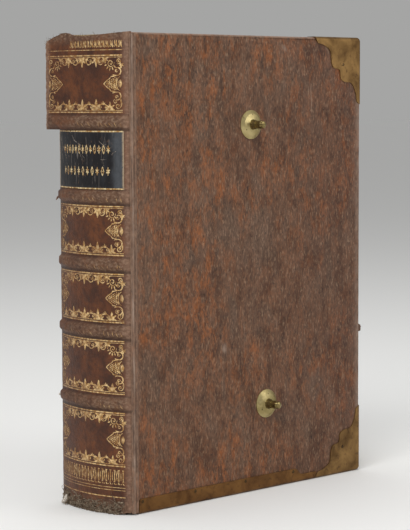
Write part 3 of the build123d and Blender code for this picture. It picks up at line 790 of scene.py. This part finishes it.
def pointedStrap():
    # the strap of the right half with a lattice of dots, and the fan behind it
    arm = sideStrap(fine * 1.45)
    side = arm + placed(arm, tall=-1)
    for step in range(6):
        near = 32.6 + 2.3 * step
        reach = min(0.42 * (near - 29.6) + 0.6 * step, 6.4)
        for up in (1, -1):
            side.append(line((near, -up * 0.3), (min(near + reach, 45.4), up * reach), fine * 0.75))
    for column in range(6):
        for row in range(-3, 4):
            place = (34.8 + 2.0 * column, 2.0 * row + column % 2)
            if abs(place[1]) < 0.72 * (place[0] - 31.6) and abs(place[1]) < 6.4:
                side.append(dot(place, 0.72))
    side += [leaf((50.8, 0), 5.2, 180 + turn, 0.42) for turn in range(-64, 65, 16)]
    return side + [bow((50.8, 0), 6.2, 112, 248, fine * 1.2, squeeze=1.25)]


def panelStrokes(low, high, right):
    # frame of one panel: rules, a lace at the top and one at the foot, a strap at each side
    half = (right + goldHalf) / 2
    tall = (high - low) / 2
    top, foot = tall - 4.2, 4.4 - tall
    strokes = []
    thin = fine * 0.8
    for level, width in ((tall - 1.5, bold), (tall - 3.4, thin), (1.5 - tall, bold), (3.5 - tall, thin)):
        strokes.append(line((-half, level), (half, level), width))
    side = placed(hangingLace(top) + standingLace(foot) + pointedStrap(), wide=half / goldHalf)
    strokes += side + placed(side, wide=-1) + lobes((0, top), 9.4, -1) + lobes((0, foot), 10.4, 1)
    strokes += scroll((4.6, foot + 2.2), 1.6, 150, 1.2, fine, -1) + scroll((-4.6, foot + 2.2), 1.6, 30, 1.2, fine)
    return placed(strokes, across=(right - goldHalf) / 2, height=(low + high) / 2)


def headMarks(low, high):
    # a row of slanted, curled marks; the row is rubbed away towards the rear joint
    strokes = []
    for step in range(int((goldHalf + 20) / goldShape["markPitch"])):
        place = (step + 0.5) * goldShape["markPitch"] - goldHalf
        strokes.append(leaf((place - 2.0, low + 1.0), high - low - 2.0, 64, 0.85, 22))
        strokes.append(leaf((place + 0.6, high - 1.0), (high - low) * 0.62, -74, 0.6, -24))
        strokes += scroll((place + 1.0, low + 2.4), 1.2, 90, 1.0, fine * 0.9)
    return strokes


def tailMarks(low, high, right):
    # upright bars with serifs, small crosses between them and a row of short marks below
    strokes = []
    foot = low + 4.6
    for step in range(int((right + goldHalf) / goldShape["markPitch"])):
        place = (step + 0.5) * goldShape["markPitch"] - goldHalf
        strokes.append(line((place, foot), (place, high), fine * 1.5))
        strokes.append(line((place - 1.2, high), (place + 1.2, high), fine))
        strokes.append(line((place - 1.0, foot), (place + 1.0, foot), fine))
        if step % 3 == 1:
            strokes.append(line((place + 1.4, foot + 0.8), (place + 3.6, high - 0.8), fine))
            strokes.append(line((place + 1.4, high - 0.8), (place + 3.6, foot + 0.8), fine))
        else:
            strokes.append(leaf((place + 2.5, foot + 1.0), high - low - 7.4, 90, 0.5))
        strokes.append(leaf((place - 1.4, low + 1.4), 3.0, 20, 0.6, 30))
        strokes.append(dot((place + 2.4, low + 2.0), 0.6))
    return strokes


def layStrokes(strokes, name, liftAt, finish, replaced=()):
    # drawn flat as one mesh, then laid along the back
    flat = [[(x, y, 0, width) for x, y, width in stroke] for stroke in strokes]
    drawn = drawTubes(name, "POLY", flat, 1.0, 1)
    for vertex in drawn.data.vertices:
        across, height, out = vertex.co
        lift = liftAt(across, height) + goldShape["seat"] + out * goldShape["flatness"]
        vertex.co = backPoint(across, height, lift)
    settle(drawn, "book_block", finish, replaced)


def makeGoldTooling():
    sprungRight = backShape["flapEnd"] - 4.0
    strokes = headMarks(*goldShape["headMarks"]) + [line((-goldHalf, 481.2), (sprungRight, 481.2), fine)]
    strokes += panelStrokes(*goldShape["sprungPanel"], sprungRight)
    for low, high in goldShape["panels"]:
        strokes += panelStrokes(low, high, goldHalf)
    strokes += tailMarks(*goldShape["tailMarks"], goldHalf)
    for level, width in ((28.4, fine * 0.8), (25.6, fine * 0.8), (18.4, bold * 0.8)):
        strokes.append(line((-goldHalf, level), (goldHalf, level), width))
    layStrokes(strokes, "goldTooling", backLift, goldFinish, ["gilt_tooling"])


def makeBandGold():
    # what is left of the marks on the bands
    chance = random.Random(7)
    strokes = []
    for middle in bands["heights"]:
        for step in range(17):
            if chance.random() < 0.75 - 0.035 * step:
                root = (-50 + 5.2 * step, middle - 4.6)
                strokes.append(leaf(root, 3.6 + 2.4 * chance.random(), 55 + 50 * chance.random(), 0.5))
    layStrokes(strokes, "bandGold", backLift, rubbedGold)


makeGoldTooling()
makeBandGold()
print("gold tooling laid")


def makeLabelGold():
    # a rule at head and foot, and two rows of small ornaments
    end = labelShape["ruleEnd"]
    strokes = []
    for level in (labelShape["high"] - 0.6, labelShape["low"] + 0.75):
        strokes.append(line((-end, level), (end, level), bold))
    for level, count in labelShape["wordRows"]:
        for step in range(count):
            place = labelShape["wordHalf"] * ((2 * step + 1) / count - 1)
            if step % 2:
                corners = [(place, level + 4.6), (place + 1.7, level), (place, level - 4.6), (place - 1.7, level)]
                strokes += [line(corners[k], corners[(k + 1) % 4], fine * 1.3) for k in range(4)]
                strokes.append(dot((place, level), 0.6))
            else:
                for turn, length in ((90, 4.6), (-90, 4.6), (38, 2.9), (142, 2.9), (-38, 2.9), (-142, 2.9)):
                    strokes.append(leaf((place, level), length, turn, 0.62))
    layStrokes(strokes, "labelGold", labelLift, labelGilt)


def fibre(chance, root, length, angle, width, sway):
    points = []
    x, y = root
    turn = math.radians(angle)
    for step in range(6):
        points.append((x, max(y, 0.5), width * (1.0 - 0.15 * step)))
        turn += sway * (chance.random() - 0.5)
        x += length / 5 * math.cos(turn)
        y += length / 5 * math.sin(turn)
    return points


labelCracks = [
    [(49, 396, 0.35), (46, 389, 0.6), (42, 383, 0.4), (36, 378, 0.5), (31, 369, 0.25)],
    [(42, 383, 0.3), (43.5, 374, 0.35), (41, 364, 0.2)],
    [(22, 397, 0.2), (14, 388, 0.4), (4, 384, 0.3), (-7, 375, 0.2)],
    [(4, 384, 0.25), (5, 376, 0.3), (1, 368, 0.15)],
    [(-18, 397, 0.2), (-24, 387, 0.35), (-33, 381, 0.2)],
]


def makeLabelScuffs():
    # pale scratches across the label
    chance = random.Random(3)
    strokes = list(labelCracks)
    for step in range(16):
        strokes.append(fibre(chance, (-48 + 96 * chance.random(), 342 + 50 * chance.random()),
                             4 + 9 * chance.random(), 360 * chance.random(), 0.14 + 0.16 * chance.random(), 0.9))
    layStrokes(strokes, "labelScuffs", labelLift, scuffTone)


makeLabelGold()
makeLabelScuffs()
print("label ornaments laid")


# covers: leather over the board, sunk on the inner face where the paste paper lies
coverShape = {
    "near": 0.3,
    "far": 350.0,
    "low": 0.9,
    "high": 499.1,
    "thickness": 12.0,
    "edge": 2.6,
    "innerEdge": 0.8,
    "corner": 4.0,
    "turnIn": 21.7,
    "sunk": 0.95,
    "lip": 1.0,
    "pitch": 5.0,
}
dents = [
    # across, height, reach, depth on the front cover
    (132, 162, 5.0, 0.9), (225, 484, 4.0, 0.8), (60, 300, 22, 0.5), (210, 250, 30, 0.45), (300, 340, 18, 0.5),
    (118, 371, 12, 0.4), (258, 368, 14, 0.35), (160, 60, 26, 0.4), (88, 452, 20, 0.4), (318, 120, 14, 0.4),
]


def makeCover(name, side, finish, body):
    # side is -1 for the front cover and 1 for the back one
    shape = coverShape
    near, far, low, high = shape["near"], shape["far"], shape["low"], shape["high"]
    hingeX = frontHinge.x / mm
    outer = bookMiddle / mm + side * backShape["halfThickness"]
    middle = Vector((hingeX + (near + far) / 2, outer - side * shape["thickness"] / 2, (low + high) / 2))
    bpy.ops.mesh.primitive_cube_add(size=1, location=middle * mm,
                                    scale=((far - near) * mm, shape["thickness"] * mm, (high - low) * mm))
    cover = bpy.context.active_object
    cover.name = name
    bpy.ops.object.transform_apply(location=True, rotation=True, scale=True)
    outerY, innerY = outer * mm, (outer - side * shape["thickness"]) * mm

    def same(first, second):
        return abs(first - second) < 1e-5

    def foreEdgeCorner(first, second):
        return same(first.x, (hingeX + far) * mm) and same(first.z, second.z)

    def rimOf(faceY):
        def onRim(first, second):
            alongJoint = max(first.x, second.x) < (hingeX + near) * mm + 1e-5
            return same(first.y, faceY) and same(second.y, faceY) and not alongJoint
        return onRim

    bevels = [(foreEdgeCorner, shape["corner"], 4), (rimOf(outerY), shape["edge"], 5),
              (rimOf(innerY), shape["innerEdge"], 2)]
    for test, width, segments in bevels:
        workIn("EDIT")
        bpy.ops.mesh.select_mode(type="EDGE")
        bpy.ops.mesh.select_all(action="DESELECT")
        workIn("OBJECT")
        points = cover.data.vertices
        for edge in cover.data.edges:
            edge.select = test(points[edge.vertices[0]].co, points[edge.vertices[1]].co)
        workIn("EDIT")
        bpy.ops.mesh.bevel(offset=width * mm, segments=segments)
    workIn("OBJECT")

    def cuts(start, end, first, last):
        # along both turn-ins, then at each pitch for the wear and dents
        steps = range(1, int((end - start) / shape["pitch"]))
        return [first, last] + [start + shape["pitch"] * step for step in steps]

    cutsX = cuts(near, far, near + shape["lip"], far - shape["turnIn"])
    cutsZ = cuts(low, high, low + shape["turnIn"], high - shape["turnIn"])
    planes = [(((hingeX + cut) * mm, 0, 0), (1, 0, 0)) for cut in cutsX]
    planes += [((0, 0, cut * mm), (0, 0, 1)) for cut in cutsZ]
    cutter = bmesh.new()
    cutter.from_mesh(cover.data)
    for place, facing in planes:
        geometry = cutter.verts[:] + cutter.edges[:] + cutter.faces[:]
        bmesh.ops.bisect_plane(cutter, geom=geometry, dist=1e-6, plane_co=place, plane_no=facing)
    cutter.to_mesh(cover.data)
    cutter.free()
    # sink the inner face between the turn-ins
    workIn("EDIT")
    bpy.ops.mesh.select_mode(type="FACE")
    bpy.ops.mesh.select_all(action="DESELECT")
    workIn("OBJECT")
    for face in cover.data.polygons:
        x, z = face.center.x / mm - hingeX, face.center.z / mm
        inside = cutsX[0] < x < cutsX[1] and cutsZ[0] < z < cutsZ[1]
        face.select = same(face.center.y, innerY) and inside
    workIn("EDIT")
    bpy.ops.mesh.extrude_region_move(TRANSFORM_OT_translate={"value": (0, side * shape["sunk"] * mm, 0)})
    workIn("OBJECT")
    faceOutwards(cover)
    for vertex in cover.data.vertices:
        x, z = vertex.co.x / mm - hingeX, vertex.co.z / mm
        if abs(vertex.co.y - outerY) > 2.7 * mm:
            continue
        inwards = 0.12 + 0.22 * rough(x, z, 5 + side, 0.02) + 0.1 * rough(x, z, 2 + side, 0.09)
        if side < 0:
            for across, height, reach, depth in dents:
                inwards += depth * ease(reach, 0.0, math.dist((x, z), (across, height)))
        # nearly flat where the brass lies on the leather
        underBrass = max(ease(266, 276, x) * max(ease(90, 78, z), ease(410, 422, z)), ease(22, 16, z))
        inwards = max(0.02, inwards) * (1 - underBrass) + 0.03 * underBrass
        vertex.co.y -= side * inwards * mm

    def wearAt(place):
        x, z = place.x / mm - hingeX, place.z / mm
        outwards = abs(place.y - outerY) / mm
        rim = min(far - x, z - low, high - z)
        worn = 0.75 * ease(2.2, 0.4, rim) if outwards < 6 else 0.15
        worn = max(worn, 0.55 * ease(12, 3, far - x))
        if outwards < 3:
            worn = max(worn, 0.6 * ease(7, 0.3, x))
            if side < 0:
                worn = max(worn, 0.8 * ease(4.5, 2.5, math.dist((x, z), (132, 163))))
                worn = max(worn, 0.7 * ease(3, 1.5, math.dist((x, z), (225, 484))))
        return worn

    paintWear(cover, wearAt)
    settle(cover, body, finish, [body + "_leather"], smoothAngle=35)


makeCover("frontCoverLeather", -1, frontLeather, "front_cover")
makeCover("backCoverLeather", 1, backLeather, "back_cover")
print("covers shaped")


# joints: a thin strip of the covering leather over each cover's hinge
jointStrip = {
    "onSpine": 3.2,
    "onCover": 4.2,
    "rows": 210,
    "columns": 16,
    "thickness": 0.7,
    "groove": 0.5,
    "middle": 250.0,
    "halfLength": 248.2,
    "spineTop": 497.5,
}


def makeJoint(name, side):
    shape = jointStrip
    hinge = frontHinge if side < 0 else backHinge
    strip = newSheet(name, shape["columns"], shape["rows"])
    for vertex in strip.data.vertices:
        out = abs(vertex.co.x)
        height = shape["middle"] + vertex.co.y * shape["halfLength"]
        run = (vertex.co.x + 1) / 2 * (shape["onSpine"] + shape["onCover"]) - shape["onSpine"]
        run += 0.5 * rough(height, 1, side, 0.07) * out
        edge = ease(0.75, 1.0, out)
        lift = 0.32 - 0.5 * edge - shape["groove"] * ease(1.7, 0.2, abs(run - 0.6))
        lift += 0.2 * rough(run, height, 3, 0.3) + 0.2 * rough(run, height, 5, 0.1) * (1 - edge)
        if run < 0:
            # it keeps to the shoulder beside the torn and sprung leather too
            vertex.co = backPoint(side * (backHalf + run), min(height, shape["spineTop"]), lift, unsprung=True)
        else:
            vertex.co = Vector((hinge.x + run * mm, hinge.y + side * lift * mm, height * mm))
    thicken(strip, shape["thickness"], -side)
    faceOutwards(strip)

    def wearAt(place):
        run, height = (place.x - hinge.x) / mm, place.z / mm
        streak = ease(1.7, 0.5, abs(run + 1.2 + 0.8 * rough(height, 2, side, 0.012)))
        broken = clamp(0.55 + 1.1 * rough(height, 1, 4, 0.03))
        return clamp(0.8 * streak * broken + 0.35 * ease(-2.0, -6.0, run) + 0.15)

    def dirtAndShadeAt(place):
        run, height = (place.x - hinge.x) / mm, place.z / mm
        crack = 0.8 * ease(1.0, 0.2, abs(run - 1.1)) * clamp(0.5 + 1.2 * rough(height, 5, side, 0.04))
        split = 0.7 * ease(0.9, 0.2, abs(run + 2.7 + 0.5 * rough(height, 4, 1, 0.02)))
        return max(crack, split * clamp(0.35 + 1.5 * rough(height, 2, side, 0.03)))

    paintWear(strip, wearAt, dirtAndShadeAt)
    settle(strip, None, jointLeather)
    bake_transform(strip)


makeJoint("frontJoint", -1)
makeJoint("backJoint", 1)
print("joints laid")


# frayed fibres at tail and head, a bit of cord, and the scrap at the fore-edge
frayShape = {
    "tailCount": 330,
    "headCount": 60,
    "edgeCount": 90,
    "tailReach": (5.0, 16.0),
    "headReach": (3.0, 8.0),
    "sunk": 0.6,
}


def makeTailFibres():
    chance = random.Random(11)
    strokes = []
    low, high = frayShape["tailReach"]
    for step in range(frayShape["tailCount"]):
        root = (-46 + 98 * chance.random(), 1.5 + 12 * chance.random() ** 1.5)
        length = low + (high - low) * chance.random()
        angle = chance.choice((-90, -60, -120, 12, 168, -25, 200)) + 40 * (chance.random() - 0.5)
        stroke = fibre(chance, root, length, angle, 0.22 + 0.8 * chance.random() ** 2, 1.1)
        strokes.append([(max(x, -50.0), y, width) for x, y, width in stroke])

    def liftAt(across, height):
        return backLift(across, height) - frayShape["sunk"] + 2.6 * clamp(0.45 + rough(across, height, 8, 0.35))

    layStrokes(strokes, "tailFibres", liftAt, fibreThread)


def makeHeadFibres():
    chance = random.Random(5)
    strokes = []
    low, high = frayShape["headReach"]
    for step in range(frayShape["headCount"]):
        across = 54.0 - 104 * chance.random() ** 1.6
        height = between(spineSheet["headTear"], acrossShare(min(across, 53), 470)) - 2.2
        length = low + (high - low) * chance.random()
        angle = chance.choice((90, 20, 160, -30, 210)) + 50 * (chance.random() - 0.5)
        stroke = fibre(chance, (across, height), length, angle, 0.16 + 0.3 * chance.random() ** 2, 0.9)
        strokes.append([(x, min(y, 499.6), width) for x, y, width in stroke])
    # the flap's torn upright edge
    for step in range(frayShape["edgeCount"]):
        root = (52.6 + 1.2 * chance.random(), 408 + 84 * chance.random() ** 0.7)
        angle = chance.choice((75, -80, 40, -30, 100)) + 40 * (chance.random() - 0.5)
        stroke = fibre(chance, root, 2.5 + 7 * chance.random(), angle, 0.2 + 0.5 * chance.random() ** 2, 1.0)
        strokes.append([(min(x, 55.4), min(y, 497), width) for x, y, width in stroke])
    layStrokes(strokes, "headFibres", lambda across, height: backLift(across, height) - frayShape["sunk"],
               fibreThread)


looseBits = [
    # name, half width, finish, slot, and its points: across, height, lift, share of the width
    ("cordBit", 2.3, paleCord, "cord",
     [(41.0, 9.5, 0.2, 0.5), (40.2, 6.6, 1.4, 0.95), (39.2, 4.0, 3.0, 1.05), (38.4, 2.8, 4.8, 1.05),
      (37.8, 2.5, 6.4, 0.7)]),
    ("looseThread", 1.0, fibreThread, "cord",
     [(36, 8.0, 0.4, 0.7), (34.6, 5.0, 2.0, 1.0), (33, 2.6, 4.0, 1.0), (32, 1.4, 6.0, 0.6)]),
    ("bandNub", 1.5, paleCord, "cord",
     [(50.5, 117.5, 2.8, 0.7), (52.6, 117.2, 3.6, 1.0), (54.2, 116.4, 3.4, 0.9), (55.6, 115.2, 2.4, 0.4)]),
    ("bandSlip", 1.2, spineFinish, "spine_leather",
     [(47.5, 329.8, 2.4, 0.8), (50.0, 328.4, 3.2, 1.0), (52.6, 326.6, 4.3, 0.9), (54.6, 324.8, 4.6, 0.35)]),
]


def makeLooseBit(name, width, finish, slotName, path):
    strand = [(*backPoint(across, height, lift), share) for across, height, lift, share in path]
    drawn = drawTubes(name, "NURBS", [strand], width * mm, 3)
    for vertex in drawn.data.vertices:
        vertex.co += 0.35 * width * mm * noise.noise_vector(vertex.co / mm * 0.45)
    settle(drawn, "book_block", finish)


def makeScrap():
    # torn end standing out of the fore-edge leather
    bpy.ops.mesh.primitive_cube_add(size=1, location=(0, 0, 0), scale=(1, 1, 1))
    scrap = bpy.context.active_object
    scrap.name = "foreEdgeScrap"
    workIn("EDIT")
    bpy.ops.mesh.subdivide(number_cuts=9)
    workIn("OBJECT")
    edgeX = frontHinge.x / mm + coverShape["far"]
    for vertex in scrap.data.vertices:
        x, y, z = vertex.co + Vector((0.5, 0, 0))
        tall = 12.0 * (1 - 0.45 * x) + 1.5 * rough(x * 3, z * 3, 2)
        thick = 2.6 * (1 - 0.5 * x) + 0.5 * rough(x * 4, z * 4, 5)
        spot = Vector((edgeX - 1.6 + 8.6 * x + 0.8 * rough(z * 4, y * 4, 7),
                       bookMiddle / mm - 51.0 + y * thick + 0.7 * rough(x * 2, z * 3, 1),
                       167.0 + z * tall - 1.4 * x))
        vertex.co = spot * mm
    paintWear(scrap, lambda place: 0.3 * ease(5, 8, place.x / mm - edgeX), lambda place: 0.3)
    settle(scrap, "front_cover", frontLeather, smoothAngle=50)


makeTailFibres()
makeHeadFibres()
for bit in looseBits:
    makeLooseBit(*bit)
makeScrap()
print("frayed ends and loose bits made")


# finishes of the CAD nodes that stay
keptFinishes = {
    "text_block": leafPaper,
    "sewing_cords": cordThread,
    "spine_lining": liningPaper,
    "endbands": bandThread,
    "clasp_plates": claspBrass,
    "clasp_pins": shadedPinBrass,
    "plate_nails": smallNails,
}
coverFinishes = {
    "board": boardWood,
    "pastedown": pastePaper,
    "corners": cornerBrass,
    "rail": railBrass,
    "corner_nails": nailBrass,
    "rail_nails": nailBrass,
}
for side in ("front_", "back_"):
    keptFinishes.update({side + part: finish for part, finish in coverFinishes.items()})
for nodeName, finish in keptFinishes.items():
    kept = frame["nodes"][nodeName]
    kept.data.materials.clear()
    kept.data.materials.append(finish)
    pick(kept)
    bpy.ops.object.shade_smooth_by_angle(angle=math.radians(32))
print("kept nodes finished")


# camera at the photo's place, floor and studio light
cameraView = {
    "yaw": math.radians(43.998),
    "pitch": math.radians(4.8995),
    "roll": math.radians(-0.2285),
    "place": (-1.47533, -1.51152, 0.42924),
    "lens": 1920 * 36 / 530,
}


def placeCamera():
    yaw, pitch, roll = cameraView["yaw"], cameraView["pitch"], cameraView["roll"]
    ahead = Vector((math.sin(yaw) * math.cos(pitch), math.cos(yaw) * math.cos(pitch), -math.sin(pitch)))
    right = Vector((math.cos(yaw), -math.sin(yaw), 0))
    up = right.cross(ahead)
    rolledRight = math.cos(roll) * right + math.sin(roll) * up
    rolledUp = math.cos(roll) * up - math.sin(roll) * right
    turned = Matrix((rolledRight, rolledUp, -ahead)).transposed().to_4x4()
    turned.translation = Vector(cameraView["place"])
    lens = bpy.data.cameras.new("photoCamera")
    lens.lens = cameraView["lens"]
    lens.sensor_width = 36
    lens.sensor_fit = "AUTO"
    lens.clip_end = 50
    camera = bpy.data.objects.new("photoCamera", lens)
    bpy.context.scene.collection.objects.link(camera)
    camera.matrix_world = turned
    bpy.context.scene.camera = camera


def areaLight(name, place, aim, size, power):
    light = bpy.data.lights.new(name, "AREA")
    light.shape = "SQUARE"
    light.size = size
    light.energy = power
    lamp = bpy.data.objects.new(name, light)
    bpy.context.scene.collection.objects.link(lamp)
    lamp.location = place
    lamp.rotation_euler = (Vector(aim) - Vector(place)).to_track_quat("-Z", "Y").to_euler()
    return lamp


placeCamera()
floorFinish = newFinish("paleFloor", roughness=0.9)
shaderInputs(floorFinish)["Base Color"].default_value = tone(238, 238, 236)
bpy.ops.mesh.primitive_plane_add(size=60, location=(0, 0, 0))
floor = bpy.context.active_object
floor.name = "floor"
floor.data.materials.append(floorFinish)
lamps = [
    areaLight("keyLight", (-1.9, -0.9, 2.3), (0, 0, 0.28), 1.5, 44),
    areaLight("fillLight", (1.3, -2.3, 1.3), (0, 0, 0.25), 1.8, 22),
    areaLight("topLight", (0.2, 0.5, 2.8), (0, 0, 0.2), 1.6, 20),
]
world = bpy.data.worlds.new("paleRoom")
bpy.context.scene.world = world
world.use_nodes = True
air = world.node_tree.nodes["Background"]
air.inputs["Color"].default_value = tone(240, 240, 240)
air.inputs["Strength"].default_value = 0.5
# the camera sees the backdrop in the tone of the far floor
seen = node(world, "ShaderNodeBackground", {"Color": tone(165, 165, 164), "Strength": 1.0})
rays = node(world, "ShaderNodeLightPath", {})
choice = node(world, "ShaderNodeMixShader", {0: rays.outputs["Is Camera Ray"], 1: air.outputs["Background"],
                                             2: seen.outputs["Background"]})
world.node_tree.links.new(choice.outputs["Shader"], world.node_tree.nodes["World Output"].inputs["Surface"])
bpy.context.scene.view_settings.view_transform = "Standard"
print("camera and light set")
